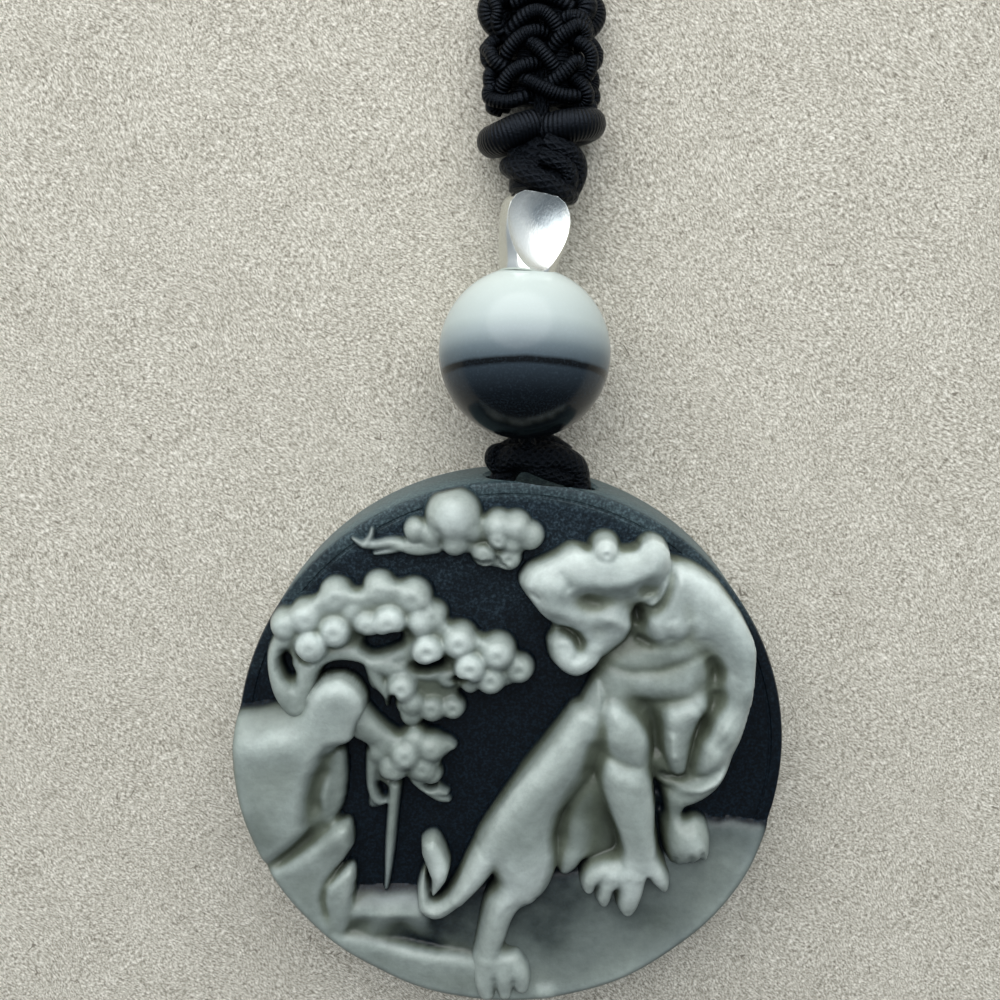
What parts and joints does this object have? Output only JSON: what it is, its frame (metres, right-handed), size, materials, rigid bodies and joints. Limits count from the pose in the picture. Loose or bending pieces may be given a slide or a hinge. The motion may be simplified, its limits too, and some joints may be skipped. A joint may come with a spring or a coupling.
{
  "type": "carved stone pendant on a neck cord",
  "caption": "Round two-layer stone pendant carved with a tiger, a pine and rocks, hung with a stone bead, a silver bead and knots from a braided neck cord.",
  "frame": {"origin": "centre of the round stone's flat back face, on the surface that it lies on", "axes": "+Z out of the carved face, +Y along the string of beads towards the neck cord, +X to the right of the carving"},
  "size_m": [0.1425, 0.3397, 0.015],
  "materials": {
    "stone": "satin, carved and hand polished",
    "bead_stone": "polished",
    "silver": "polished sterling silver",
    "cord": "twisted and braided black polyester cord"
  },
  "bodies": {
    "root": {"carved_disc": "stone", "stone_bead": "bead_stone", "silver_bead": "silver", "hanging_cord": "cord", "collar_wrap": "cord", "wound_ring": "cord", "woven_knot": "cord", "neck_cord": "cord"}
  },
  "joints": []
}
